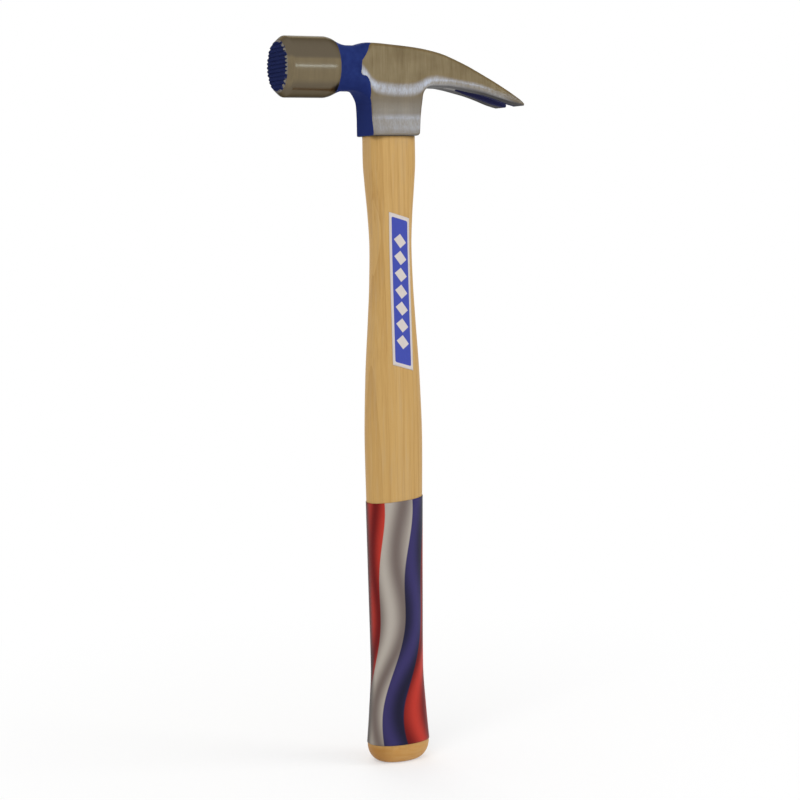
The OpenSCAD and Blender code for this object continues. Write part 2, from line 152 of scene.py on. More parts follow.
underOutline = (
    [(-head["cutFront"], sky), (-head["cutFront"], head["neckLow"])]
    + arcPoints(-head["neckStart"], skirtTop, head["frontFillet"], 90, 0, 13)
    + arcPoints(head["frontFoot"] - head["skirtFront"], foot + head["frontFoot"], head["frontFoot"], 180, 270)
    + arcPoints(head["skirtBack"] - head["backFoot"], foot + head["backFoot"], head["backFoot"], 270, 360)
    + arcPoints(clawStart, head["clawLow"] - head["backFillet"], head["backFillet"], 180, 90, 13)
    + [(x, float(smoothLine(underLine, x))) for x in np.linspace(clawStart + 1, reach, 40)]
    + [(reach, sky)]
)


def nailSlot(x, side, z):                    # distance from the slot's flanks, bevels and closed end
    t = (x - head["slotEnd"]) / (reach - head["slotEnd"])
    flank = side - head["slotRoot"] - t * (head["slotMouth"] - head["slotRoot"])
    low = smoothLine(underLine, x)
    bevel = np.minimum(head["slotBevel"], thinShares["bevel"] * (smoothLine(topLine, x) - low))
    return np.maximum(np.minimum(flank, (flank - bevel + z - low) * math.sqrt(0.5)), head["slotEnd"] - x)


def headField(x, y, z):                      # distance from the head's surface, negative in the steel
    side = np.abs(y)
    rise = (z - foot) / (head["neckLow"] - foot)
    plan, top = smoothLine(planLine, x), smoothLine(topLine, x)
    hollow = ramp(x, *head["waistFront"]) * (1 - ramp(x, *head["waistBack"]))
    half = plan - head["waist"] * smoothLine(waistLine, rise) * hollow
    tall = np.where(x > clawStart, top - smoothLine(underLine, x), clawDeep)
    step = 0.2
    tilt = np.hypot(1, (smoothLine(topLine, x + step) - smoothLine(topLine, x - step)) / (2 * step))
    arch = np.minimum(head["arch"], thinShares["arch"] * tall)
    crownSide = (z + arch * np.minimum(side / plan, 1.2) ** 2 - top) / tilt
    under = outlineDistance(underOutline, x, z)
    front = ramp(z, *head["neckRoundUp"]) * (1 - ramp(x, -head["cheekFront"] - 1, -head["skirtFront"]))
    back = ramp(x, *head["clawEdgeAlong"]) * ramp(z, *head["clawEdgeUp"])
    low = head["skirtRound"] + (head["neckRound"] - head["skirtRound"]) * front
    low = low + (head["clawEdge"] - head["skirtRound"]) * back
    walls = side - half
    body = np.maximum(
        roundMeet(crownSide, walls, np.minimum(smoothLine(edgeLine, x), thinShares["topEdge"] * tall)),
        roundMeet(under, walls, np.minimum(low, thinShares["lowEdge"] * tall)),
    )
    rho = np.hypot(y, z - head["axis"])
    bevel = (rho - floorRim - rimSlope * (x + faceFloor)) / math.hypot(1, rimSlope)
    bell = roundMeet(rho - smoothLine(bellLine, x), bevel, head["rimRound"])
    bell = roundMeet(bell, -x - faceFloor, head["faceRound"])
    body = softJoin(body, bell, head["joinFillet"])

    wear = head["eyeWaist"] * (1 - (2 * np.clip((z - foot) / (crown - foot), 0, 1) - 1) ** 2)
    n, along = head["eyeSquareness"], np.abs(x - head["eyeShift"])
    oval = (along / (head["eyeHalfLength"] - wear)) ** n + (side / (head["eyeHalfWidth"] - wear)) ** n
    share = np.maximum(oval ** (1 / n), 1e-3)
    eye = np.maximum(np.hypot(along, side), 0.01) * (1 - 1 / share)
    body = roundMeet(body, -eye, head["eyeRound"])

    return roundMeet(body, -nailSlot(x, side, z), head["slotRound"])


def skinOfField(field, low, high, step):     # mesh where the field is zero, one corner in each crossed cell
    axes = [np.arange(low[a], high[a] + step, step) for a in range(3)]
    values = field(axes[0][:, None, None], axes[1][None, :, None], axes[2][None, None, :])
    values = np.where(np.abs(values) < 1e-6, 1e-6, values)
    shape = np.array(values.shape) - 1
    total, count, faces = np.zeros((*shape, 3)), np.zeros(shape), []
    for a in range(3):
        u, v = (a + 1) % 3, (a + 2) % 3
        pick = [slice(None)] * 3
        pick[a] = slice(0, -1)
        first = values[tuple(pick)]
        pick[a] = slice(1, None)
        last = values[tuple(pick)]
        crossed = (first < 0) != (last < 0)
        share = np.where(crossed, first / np.where(crossed, first - last, 1), 0)
        for du in (0, 1):
            for dv in (0, 1):
                pick = [slice(None)] * 3
                pick[u] = slice(0, -1) if du == 0 else slice(1, None)
                pick[v] = slice(0, -1) if dv == 0 else slice(1, None)
                c, s = crossed[tuple(pick)], share[tuple(pick)]
                total[..., a] += s
                total[..., u] += c * du
                total[..., v] += c * dv
                count += c
        spots = np.argwhere(crossed)
        for b in (u, v):
            spots = spots[(spots[:, b] > 0) & (spots[:, b] < shape[b])]
        out = first[tuple(spots.T)] < 0
        ring = []
        for du, dv in ((1, 1), (0, 1), (0, 0), (1, 0)):
            cell = spots.copy()
            cell[:, u] -= du
            cell[:, v] -= dv
            ring.append(np.ravel_multi_index(cell.T, shape))
        ring = np.stack(ring, 1)
        faces.append(np.where(out[:, None], ring, ring[:, ::-1]))
    used = count.ravel() > 0
    ids = np.cumsum(used) - 1
    cells = np.argwhere(count > 0)
    points = (cells + total[count > 0] / count[count > 0][:, None]) * step + np.array(low)
    return points, ids[np.concatenate(faces)]


def settleOnField(field, points, rounds=3, step=0.02, stride=0.3):    # moves each corner onto the surface
    for _ in range(rounds):
        value = field(*points.T)
        grad = np.stack([
            (field(*(points + d).T) - field(*(points - d).T)) / (2 * step) for d in np.eye(3) * step], 1)
        size = np.maximum((grad ** 2).sum(1), 0.2)
        move = grad * (value / size)[:, None]
        length = np.maximum(np.linalg.norm(move, axis=1, keepdims=True), 1e-9)
        points = points - move * np.minimum(1, stride / length)
    return points


def meshPiece(name, points, faces, smooth=True):
    mesh = bpy.data.meshes.new(name)
    mesh.from_pydata((np.asarray(points) * mm).tolist(), [], [list(map(int, f)) for f in faces])
    mesh.update()
    piece = bpy.data.objects.new(name, mesh)
    bpy.context.scene.collection.objects.link(piece)
    mesh.polygons.foreach_set("use_smooth", np.full(len(mesh.polygons), smooth))
    return piece


def storeValues(piece, name, values):
    layer = piece.data.attributes.new(name, "FLOAT", "POINT")
    layer.data.foreach_set("value", np.asarray(values, np.float32))


points, quads = skinOfField(headField, head["low"], head["high"], head["voxel"])
points = settleOnField(headField, points)
forgedHead = meshPiece("forged_head", points, quads)
print("head skinned:", len(points), "corners")

normals = np.zeros(len(points) * 3, np.float32)
forgedHead.data.vertices.foreach_get("normal", normals)
normals = normals.reshape(-1, 3)

# How far each corner of the head lies from the painted parts, negative where the paint is
paintPlan = {
    "faceEdge": 0.05, "faceDepth": 0.2, "neckFront": 36.4, "skirtBackTop": 403, "slotEdge": 0.3,
    "bevelPainted": (45, 53), "underPainted": (44, 62), "underGap": 1.5, "underSpill": 4.1,
    "frontTurn": 0.7, "backTurn": 0.8, "flankTurn": 0.5, "bevelTurn": 0.45, "bevelSpill": 4,
    "underTurn": 0.5, "steep": 3,
}
groundOutline = [
    (90, 450), (90, 370), (-15.8, 370), (-15.9, 379), (-16.1, 387.5), (-16.1, 395.5), (-16.0, 405),
    (-16.3, 408.5), (-16.8, 410.4), (-18.0, 412.3), (-19.4, 413.3), (-21.5, 413.5), (-22.1, 414.6),
    (-21.9, 416.6), (-21.4, 422), (-20.2, 423.3), (-19.1, 424.9), (-17.7, 427.8), (-16.6, 430.6),
    (-15.2, 432.2), (-14.9, 450),
]
x, y, z = points.T
rho = np.hypot(y, z - head["axis"])
leanX, leanY, leanZ = normals.T
steep = paintPlan["steep"]                   # how fast a turn of the surface ends the paint
slotGap = nailSlot(x, np.abs(y), z)
paintedParts = {
    "face": np.maximum(rho - floorRim - paintPlan["faceEdge"], x + faceFloor - paintPlan["faceDepth"]),
    "neck": np.maximum(-paintPlan["neckFront"] - x, np.minimum(
        -outlineDistance(groundOutline, x, z), (leanX + paintPlan["frontTurn"]) * steep)),
    "skirtBack": np.maximum((paintPlan["backTurn"] - leanX) * steep, z - paintPlan["skirtBackTop"]),
    "slotFlanks": np.maximum.reduce([
        slotGap - paintPlan["slotEdge"], (paintPlan["flankTurn"] - np.abs(leanY)) * steep,
        (-paintPlan["bevelTurn"] - leanZ) * steep
        - paintPlan["bevelSpill"] * ramp(x, *paintPlan["bevelPainted"])]),
    "clawUndersides": np.maximum(
        slotGap + paintPlan["underGap"] - paintPlan["underSpill"] * ramp(x, *paintPlan["underPainted"]),
        (leanZ + paintPlan["underTurn"]) * steep),
}
paintEdge = np.minimum.reduce(list(paintedParts.values()))
storeValues(forgedHead, "paintEdge", paintEdge)

# Painted highlights: bright bands where the cheeks roll over into the waist and under the claws, and above
# the foot
bands = {
    "rollWide": 2.5, "rollLoss": 1.0, "rollTaper": (16, 46), "rollStart": (-23.2, -22.4),
    "rollFull": 0.2, "rollUp": 2.0, "rollDown": 1.8, "rollDim": 0.3, "rollFade": (20, 50),
    "rollEnd": (66, 78), "footMiddle": 386.2, "footAbove": (1.6, 6.0), "footBelow": (2.6, 8.0),
    "footFront": 0.5, "footGain": 0.2, "footAlong": (-14, 6), "flatSide": (0.3, 0.7),
}
rollLine = [
    (-22, 416.5), (-18.7, 412.9), (-14.9, 408.1), (-11.1, 406.1), (-7.3, 405.4), (-3.4, 405), (0.5, 404.7),
    (8.3, 404.8), (12.2, 405.2), (16.2, 406.7), (20.2, 408.6), (27, 410.2), (35.5, 409.5), (43, 408.6),
    (50.8, 407.4), (58.5, 405.1), (66.2, 401.9), (72, 399.6), (82, 396.5),
]
rollWide = bands["rollWide"] - bands["rollLoss"] * ramp(x, *bands["rollTaper"])
rollGap = z - smoothLine(rollLine, x)
rollSpan = rollWide * np.where(rollGap > 0, bands["rollUp"], bands["rollDown"])
rollBand = 1 - ramp(np.abs(rollGap), bands["rollFull"] * rollWide, rollSpan)
rollBand = rollBand * ramp(x, *bands["rollStart"]) * (1 - bands["rollDim"] * ramp(x, *bands["rollFade"]))
rollBand = rollBand * (1 - ramp(x, *bands["rollEnd"]))
footGap = z - bands["footMiddle"]
footBand = 1 - np.where(footGap > 0, ramp(footGap, *bands["footAbove"]), ramp(-footGap, *bands["footBelow"]))
footBand = footBand * (bands["footFront"] + bands["footGain"] * ramp(x, *bands["footAlong"]))
onSide = ramp(np.abs(leanY), *bands["flatSide"])
storeValues(forgedHead, "groundBand", np.maximum(rollBand, footBand) * onSide)

edges = np.zeros(len(forgedHead.data.edges) * 2, np.int64)
forgedHead.data.edges.foreach_get("vertices", edges)
edges = edges.reshape(-1, 2)
around, links = np.zeros_like(points), np.zeros(len(points))
for a, b in ((0, 1), (1, 0)):
    np.add.at(around, edges[:, a], points[edges[:, b]])
    np.add.at(links, edges[:, a], 1)
fullBulge = 0.09                             # how far a corner on a sharp edge stands out of its neighbours
bulge = ((points - around / links[:, None]) * normals).sum(1)
storeValues(forgedHead, "edgeBulge", np.clip(bulge / fullBulge, -1, 1))
print("paint and edges measured")


# Rows of milled teeth, by Geometry Nodes

def plug(tree, socket, value):               # links another node's output, or sets a plain value
    if isinstance(value, bpy.types.NodeSocket):
        tree.links.new(value, socket)
    else:
        socket.default_value = value


def nodeIn(tree, kind, inputs=None, **settings):
    made = tree.nodes.new(kind)
    for name, value in settings.items():
        setattr(made, name, value)
    for name, value in (inputs or {}).items():
        plug(tree, made.inputs[name], value)
    return made


def mathIn(tree, operation, *values):
    return nodeIn(tree, "ShaderNodeMath", dict(enumerate(values)), operation=operation).outputs[0]


def partsIn(tree, vector):                   # a vector's x, y and z
    return nodeIn(tree, "ShaderNodeSeparateXYZ", {0: vector}).outputs


def joinIn(tree, parts):                     # a vector from its parts, by their number
    return nodeIn(tree, "ShaderNodeCombineXYZ", parts).outputs[0]


def lengthIn(tree, vector):
    return nodeIn(tree, "ShaderNodeVectorMath", {0: vector}, operation="LENGTH").outputs["Value"]


def stretchIn(tree, vector, amounts):
    return nodeIn(tree, "ShaderNodeVectorMath", {0: vector, 1: amounts}, operation="MULTIPLY").outputs[0]


def toothMesh():                             # a low pyramid with a flat top, pointing along -X
    base, top, tall, root = teeth["pitch"] / 2, teeth["flat"] / 2, teeth["depth"], teeth["root"]
    corners = [(-1, -1), (1, -1), (1, 1), (-1, 1)]
    levels = [(root, base), (0, base), (-tall, top)]
    points = [(x, half * a, half * b) for x, half in levels for a, b in corners]
    faces = [(0, 1, 2, 3), (11, 10, 9, 8)]
    for r in (0, 4):
        faces += [(r + i, r + i + 4, r + (i + 1) % 4 + 4, r + (i + 1) % 4) for i in range(4)]
    return meshPiece("tooth_shape", points, faces, smooth=False)


def teethTree():
    tree = bpy.data.node_groups.new("milledTeeth", "GeometryNodeTree")
    for name, kind in (
            ("Pitch", "Float"), ("Rows", "Int"), ("Reach", "Float"), ("Rim", "Float"),
            ("Slope", "Float"), ("Wear", "Float"), ("Seed", "Int"), ("Place", "Vector"),
            ("Tooth", "Object"), ("Finish", "Material")):
        tree.interface.new_socket(name, in_out="INPUT", socket_type="NodeSocket" + kind)
    tree.interface.new_socket("Geometry", in_out="OUTPUT", socket_type="NodeSocketGeometry")
    given = nodeIn(tree, "NodeGroupInput").outputs
    width = mathIn(tree, "MULTIPLY", given["Pitch"], mathIn(tree, "SUBTRACT", given["Rows"], 1.0))
    grid = nodeIn(tree, "GeometryNodeMeshGrid", {
        "Size X": width, "Size Y": width, "Vertices X": given["Rows"], "Vertices Y": given["Rows"]})
    place = nodeIn(tree, "GeometryNodeInputPosition").outputs[0]
    outside = nodeIn(tree, "FunctionNodeCompare", {
        0: lengthIn(tree, place), 1: given["Reach"]}, operation="GREATER_THAN")
    kept = nodeIn(tree, "GeometryNodeDeleteGeometry", {
        0: grid.outputs["Mesh"], 1: outside.outputs[0]}, domain="POINT")
    upright = nodeIn(tree, "GeometryNodeTransform", {
        "Geometry": kept.outputs[0], "Rotation": (0, math.pi / 2, 0)})
    tooth = nodeIn(tree, "GeometryNodeObjectInfo", {"Object": given["Tooth"]})
    low = mathIn(tree, "SUBTRACT", 1.0, given["Wear"])
    blunt = nodeIn(tree, "FunctionNodeRandomValue", {
        2: low, 3: 1.0, 8: given["Seed"]}, data_type="FLOAT").outputs[1]
    size = joinIn(tree, {0: blunt, 1: 1.0, 2: 1.0})
    placed = nodeIn(tree, "GeometryNodeInstanceOnPoints", {
        "Points": upright.outputs[0], "Instance": tooth.outputs["Geometry"], "Scale": size})
    real = nodeIn(tree, "GeometryNodeRealizeInstances", {"Geometry": placed.outputs[0]}).outputs[0]
    part = partsIn(tree, place)
    rho = lengthIn(tree, joinIn(tree, {1: part[1], 2: part[2]}))
    limit = mathIn(tree, "MULTIPLY_ADD", part[0], given["Slope"], given["Rim"])    # the rim's bevel
    share = mathIn(tree, "MINIMUM", mathIn(tree, "DIVIDE", limit, mathIn(tree, "MAXIMUM", rho, 1e-6)), 1.0)
    spot = joinIn(tree, {
        0: part[0], 1: mathIn(tree, "MULTIPLY", part[1], share), 2: mathIn(tree, "MULTIPLY", part[2], share)})
    cut = nodeIn(tree, "GeometryNodeSetPosition", {"Geometry": real, "Position": spot})
    moved = nodeIn(tree, "GeometryNodeTransform", {"Geometry": cut.outputs[0], "Translation": given["Place"]})
    done = nodeIn(tree, "GeometryNodeSetMaterial", {
        "Geometry": moved.outputs[0], "Material": given["Finish"]})
    nodeIn(tree, "NodeGroupOutput", {"Geometry": done.outputs[0]})
    return tree


def bakedPiece(name, tree, values):          # runs a node tree once and keeps its plain mesh
    holder = bpy.data.objects.new("holder", bpy.data.meshes.new("holder"))
    bpy.context.scene.collection.objects.link(holder)
    modifier = holder.modifiers.new("nodes", "NODES")
    modifier.node_group = tree
    for item in tree.interface.items_tree:
        if item.item_type == "SOCKET" and item.in_out == "INPUT" and item.name in values:
            modifier[item.identifier] = values[item.name]
    depsgraph = bpy.context.evaluated_depsgraph_get()
    mesh = bpy.data.meshes.new_from_object(holder.evaluated_get(depsgraph), depsgraph=depsgraph)
    mesh.name = name
    bpy.data.objects.remove(holder)
    piece = bpy.data.objects.new(name, mesh)
    bpy.context.scene.collection.objects.link(piece)
    return piece


# Effects that more than one finish uses, as shader node groups

def newGroup(name, inputs, outputs):
    tree = bpy.data.node_groups.new(name, "ShaderNodeTree")
    for label, kind, value in inputs:
        socket = tree.interface.new_socket(label, in_out="INPUT", socket_type="NodeSocket" + kind)
        socket.default_value = value
    for label, kind in outputs:
        tree.interface.new_socket(label, in_out="OUTPUT", socket_type="NodeSocket" + kind)
    return tree, nodeIn(tree, "NodeGroupInput").outputs


def groupNode(tree, group, **values):
    return nodeIn(tree, "ShaderNodeGroup", values, node_tree=group).outputs


def mixIn(tree, share, first, second):       # a colour between two
    colors = [value if isinstance(value, bpy.types.NodeSocket) else (*value, 1) for value in (first, second)]
    return nodeIn(tree, "ShaderNodeMix", {0: share, 6: colors[0], 7: colors[1]}, data_type="RGBA").outputs[2]


def betweenIn(tree, share, first, second):   # a number between two
    return nodeIn(tree, "ShaderNodeMix", {0: share, 2: first, 3: second}, data_type="FLOAT").outputs[0]


def rangeIn(tree, value, low, high, first=0.0, last=1.0, smooth=False):
    return nodeIn(tree, "ShaderNodeMapRange", {
        "Value": value, "From Min": low, "From Max": high, "To Min": first, "To Max": last},
        interpolation_type="SMOOTHSTEP" if smooth else "LINEAR").outputs[0]


def placeIn(tree, value, span, first=0.0, last=1.0, smooth=False):    # a range between two places
    return rangeIn(tree, value, span[0] * mm, span[1] * mm, first, last, smooth)


def noiseIn(tree, vector, scale, detail=2.0, rough=0.5):
    return nodeIn(tree, "ShaderNodeTexNoise", {
        "Vector": vector, "Scale": scale, "Detail": detail, "Roughness": rough}).outputs[0]


def makeStreaks():                           # fine lines that run one way: brushing, fibres, dust
    tree, given = newGroup("streaks", [
        ("Vector", "Vector", (0, 0, 0)), ("Across", "Vector", (1, 1, 1)), ("Scale", "Float", 1000.0),
        ("Contrast", "Float", 1.0)], [("Value", "Float")])
    spread = stretchIn(tree, given["Vector"], given["Across"])
    fine = noiseIn(tree, spread, given["Scale"], 3.0, 0.6)
    broad = noiseIn(tree, spread, mathIn(tree, "MULTIPLY", given["Scale"], 0.23), 2.0, 0.5)
    both = mathIn(tree, "ADD", mathIn(tree, "MULTIPLY", fine, 0.6), mathIn(tree, "MULTIPLY", broad, 0.4))
    centred = mathIn(tree, "MULTIPLY", mathIn(tree, "SUBTRACT", both, 0.5), given["Contrast"])
    nodeIn(tree, "NodeGroupOutput", {"Value": mathIn(tree, "ADD", centred, 0.5)})
    return tree


def makeWornEdges():                         # where an edge or a rim has lost its finish
    tree, given = newGroup("wornEdges", [
        ("Vector", "Vector", (0, 0, 0)), ("Edge", "Float", 0.0), ("Spots", "Float", 400.0),
        ("Ragged", "Float", 0.3), ("Width", "Float", 0.1)], [("Mask", "Float")])
    spots = noiseIn(tree, given["Vector"], given["Spots"], 4.0, 0.6)
    shift = mathIn(tree, "MULTIPLY", mathIn(tree, "SUBTRACT", spots, 0.5), given["Ragged"])
    value = mathIn(tree, "ADD", given["Edge"], shift)
    low = mathIn(tree, "MULTIPLY", given["Width"], -1.0)
    nodeIn(tree, "NodeGroupOutput", {"Mask": rangeIn(tree, value, low, given["Width"], smooth=True)})
    return tree


def makeWoodFigure():                        # growth lines and fibres of a straight-grained board
    tree, given = newGroup("woodFigure", [
        ("Vector", "Vector", (0, 0, 0)), ("Pale", "Color", (0.7, 0.5, 0.25, 1)),
        ("Dark", "Color", (0.5, 0.3, 0.12, 1)), ("Rings", "Float", 260.0), ("Figure", "Float", 0.6)],
        [("Color", "Color"), ("Height", "Float")])
    part = partsIn(tree, given["Vector"])
    slow = stretchIn(tree, given["Vector"], (1, 1, 0.1))
    bend = mathIn(tree, "MULTIPLY", mathIn(tree, "SUBTRACT", noiseIn(tree, slow, 42.0, 2.0), 0.5), 0.016)
    across = mathIn(tree, "ADD", mathIn(tree, "ADD", part[0], mathIn(tree, "MULTIPLY", part[1], 0.35)), bend)
    ring = mathIn(tree, "FRACT", mathIn(tree, "MULTIPLY", across, given["Rings"]))
    late = mathIn(tree, "POWER", ring, 2.4)
    fibre = stretchIn(tree, given["Vector"], (1, 1, 0.018))
    fine = noiseIn(tree, fibre, 1300.0, 4.0, 0.7)
    pore = rangeIn(tree, noiseIn(tree, fibre, 1500.0, 2.0), 0.62, 0.72)
    clouds = noiseIn(tree, slow, 60.0, 2.0)
    tone = mathIn(tree, "ADD", mathIn(tree, "MULTIPLY", late, given["Figure"]),
                  mathIn(tree, "MULTIPLY", mathIn(tree, "SUBTRACT", fine, 0.5), 1.5))
    tone = mathIn(tree, "ADD", tone, mathIn(tree, "MULTIPLY", mathIn(tree, "SUBTRACT", clouds, 0.5), 0.5))
    tone = mathIn(tree, "ADD", tone, mathIn(tree, "MULTIPLY", pore, 0.3))
    height = mathIn(tree, "SUBTRACT", fine, mathIn(tree, "MULTIPLY", pore, 0.6))
    nodeIn(tree, "NodeGroupOutput", {
        "Color": mixIn(tree, tone, given["Pale"], given["Dark"]), "Height": height})
    return tree


streaks, wornEdges, woodFigure = makeStreaks(), makeWornEdges(), makeWoodFigure()


def newFinish(name, **fixed):
    finish = bpy.data.materials.new(name)
    finish.use_nodes = True
    tree = finish.node_tree
    shader = tree.nodes["Principled BSDF"]
    for label, value in fixed.items():
        shader.inputs[label].default_value = value
    return finish, tree, shader


def bumpInto(tree, shader, height, strength, distance):
    bump = nodeIn(tree, "ShaderNodeBump", {"Height": height, "Strength": strength, "Distance": distance})
    tree.links.new(bump.outputs[0], shader.inputs["Normal"])


# Steel and paint of the head

steel = {
    # The pale neutral colour for the bright bands is a painted highlight
    "dark": (0.146, 0.101, 0.047), "pale": (0.234, 0.171, 0.084), "ground": (0.435, 0.43, 0.425),
    # The underside colours are painted light and shade: lighter grey near the claws' root, darker towards
    # their tips
    "under": (0.20, 0.20, 0.21), "underFar": (0.115, 0.113, 0.120), "scale": (0.22, 0.20, 0.17),
    # The bell's turned colour is painted shade for its top and bottom
    "bell": (0.20, 0.18, 0.13), "turned": (0.120, 0.098, 0.069), "edgeTint": (0.33, 0.33, 0.33),
    "rough": 0.36, "bellRough": 0.25, "grain": 0.5, "brush": 1500.0, "bellShare": 0.4,
    "bellEnd": (-35, -36), "scaleUp": (406, 399), "farClaw": (42, 58),
}
bluePaint = {
    "deep": (0.011, 0.018, 0.092), "light": (0.025, 0.044, 0.178), "skirt": (0.015, 0.026, 0.128),
    # The face's fill colour is painted light on the teeth's downward-facing flanks
    "faceDeep": (0.010, 0.014, 0.053), "faceLight": (0.016, 0.023, 0.084), "faceFillLight": (0.024, 0.034, 0.130),
    # The slot colour is painted shade
    "slot": (0.017, 0.018, 0.060), "rubbed": (0.08, 0.09, 0.15), "rubbedShare": 0.12, "rough": 0.5,
    "sheen": 0.005, "skirtUp": (412, 403), "faceEnd": (-64, -65), "slotEnd": (30, 34),
    "smoothEdge": (30, 36), "ragged": 0.9, "slotRagged": 0.3, "toothRagged": 0.4, "edgeSpots": 700.0,
    "rubbedFrom": 0.62, "rubbedSpots": 900.0,
}


def makeForgedFinish():
    finish, tree, shader = newFinish("forged_steel", **{
        "Specular IOR Level": bluePaint["sheen"], "Specular Tint": (*steel["edgeTint"], 1)})
    coords = nodeIn(tree, "ShaderNodeTexCoord").outputs
    place = coords["Object"]
    part, lean = partsIn(tree, place), partsIn(tree, coords["Normal"])[2]
    onBell = placeIn(tree, part[0], steel["bellEnd"])

    # Brushed steel, with painted shade where the bell turns from the light, and greyer low on the head
    brush = groupNode(tree, streaks, Vector=place, Across=(1, 0.05, 0.05), Scale=steel["brush"],
                      Contrast=1.2)["Value"]
    blotch = noiseIn(tree, place, 90.0, 3.0, 0.55)
    tone = mathIn(tree, "ADD", mathIn(tree, "MULTIPLY", brush, 0.6), mathIn(tree, "MULTIPLY", blotch, 0.4))
    metal = mixIn(tree, rangeIn(tree, tone, 0.3, 0.7), steel["dark"], steel["pale"])
    metal = mixIn(tree, placeIn(tree, part[2], steel["scaleUp"], 0.0, 0.5, True), metal, steel["scale"])
    metal = mixIn(tree, rangeIn(tree, lean, 0.5, 0.9, 0.0, 0.3, True), metal, steel["scale"])
    offBell = mathIn(tree, "SUBTRACT", 1.0, onBell)
    # Painted light and shade on downward-facing undersides off the bell: lighter grey near the claws' root,
    # darker towards their tips
    undersideLightShade = mathIn(tree, "MULTIPLY", rangeIn(tree, lean, -0.35, -0.75, 0.0, 0.9, True), offBell)
    under = mixIn(tree, placeIn(tree, part[0], steel["farClaw"]), steel["under"], steel["underFar"])
    metal = mixIn(tree, undersideLightShade, metal, under)
    metal = mixIn(tree, mathIn(tree, "MULTIPLY", onBell, steel["bellShare"]), metal, steel["bell"])
    # Painted shade on the bell: darker where it faces upward or downward, turned from the light
    turned = mathIn(tree, "MULTIPLY", rangeIn(tree, lean, 0.17, 0.29, 0.0, 0.85, True),
                    rangeIn(tree, lean, 0.8, 0.96, 1.0, 0.3, True))
    turned = mathIn(tree, "MAXIMUM", turned, rangeIn(tree, lean, -0.42, -0.66, 0.0, 0.8, True))
    metal = mixIn(tree, mathIn(tree, "MULTIPLY", turned, onBell), metal, steel["turned"])
    # Painted highlight: streaked bright bands from the stored band attribute, in a pale neutral colour
    band = nodeIn(tree, "ShaderNodeAttribute", attribute_name="groundBand").outputs["Fac"]
    scratch = groupNode(tree, streaks, Vector=place, Across=(1, 0.5, 0.3), Scale=steel["brush"],
                        Contrast=1.6)["Value"]
    band = mathIn(tree, "MULTIPLY", band, rangeIn(tree, scratch, 0.25, 0.75, 0.45, 1.15))
    metal = mixIn(tree, band, metal, steel["ground"])

    # Blue paint, and where it ends or is rubbed
    edge = nodeIn(tree, "ShaderNodeAttribute", attribute_name="paintEdge").outputs["Fac"]
    bulge = nodeIn(tree, "ShaderNodeAttribute", attribute_name="edgeBulge").outputs["Fac"]
    ragged = placeIn(tree, part[0], bluePaint["smoothEdge"], bluePaint["ragged"], bluePaint["slotRagged"])
    bare = groupNode(tree, wornEdges, Vector=place, Edge=edge, Spots=bluePaint["edgeSpots"], Ragged=ragged,
                     Width=0.09)["Mask"]
    sharp = mathIn(tree, "SUBTRACT", bulge, bluePaint["rubbedFrom"])
    rubbed = groupNode(tree, wornEdges, Vector=place, Edge=sharp, Spots=bluePaint["rubbedSpots"], Ragged=0.5,
                       Width=0.12)["Mask"]
    paint = mixIn(tree, noiseIn(tree, place, 240.0, 3.0), bluePaint["deep"], bluePaint["light"])
    low = placeIn(tree, part[2], bluePaint["skirtUp"], 0.0, 0.85, True)
    paint = mixIn(tree, low, paint, bluePaint["skirt"])
    # Painted shade: paint is darker and greyer from the slot's end on, in the nail slot and under the claws
    paint = mixIn(tree, placeIn(tree, part[0], bluePaint["slotEnd"]), paint, bluePaint["slot"])
    paint = mixIn(tree, placeIn(tree, part[0], bluePaint["faceEnd"]), paint, bluePaint["faceLight"])
    rubbed = mathIn(tree, "MULTIPLY", rubbed, bluePaint["rubbedShare"])
    paint = mixIn(tree, rubbed, paint, bluePaint["rubbed"])

    plug(tree, shader.inputs["Base Color"], mixIn(tree, bare, paint, metal))
    plug(tree, shader.inputs["Metallic"], bare)
    metalRough = rangeIn(tree, tone, 0.3, 0.7, steel["rough"] + 0.05, steel["rough"] - 0.03)
    metalRough = betweenIn(tree, onBell, metalRough, steel["bellRough"])
    plug(tree, shader.inputs["Roughness"], betweenIn(tree, bare, bluePaint["rough"], metalRough))
    plug(tree, shader.inputs["Anisotropic"], mathIn(tree, "MULTIPLY", bare, steel["grain"]))
    plug(tree, shader.inputs["Tangent"], joinIn(tree, {0: 1.0, 1: 0.0, 2: 0.0}))
    film = mathIn(tree, "MULTIPLY", mathIn(tree, "SUBTRACT", 1.0, bare), 0.6)
    height = mathIn(tree, "ADD", mathIn(tree, "MULTIPLY", mathIn(tree, "MULTIPLY", brush, bare), 0.4), film)
    bumpInto(tree, shader, height, 0.3, 0.0001)
    return finish


forgedHead.data.materials.append(makeForgedFinish())


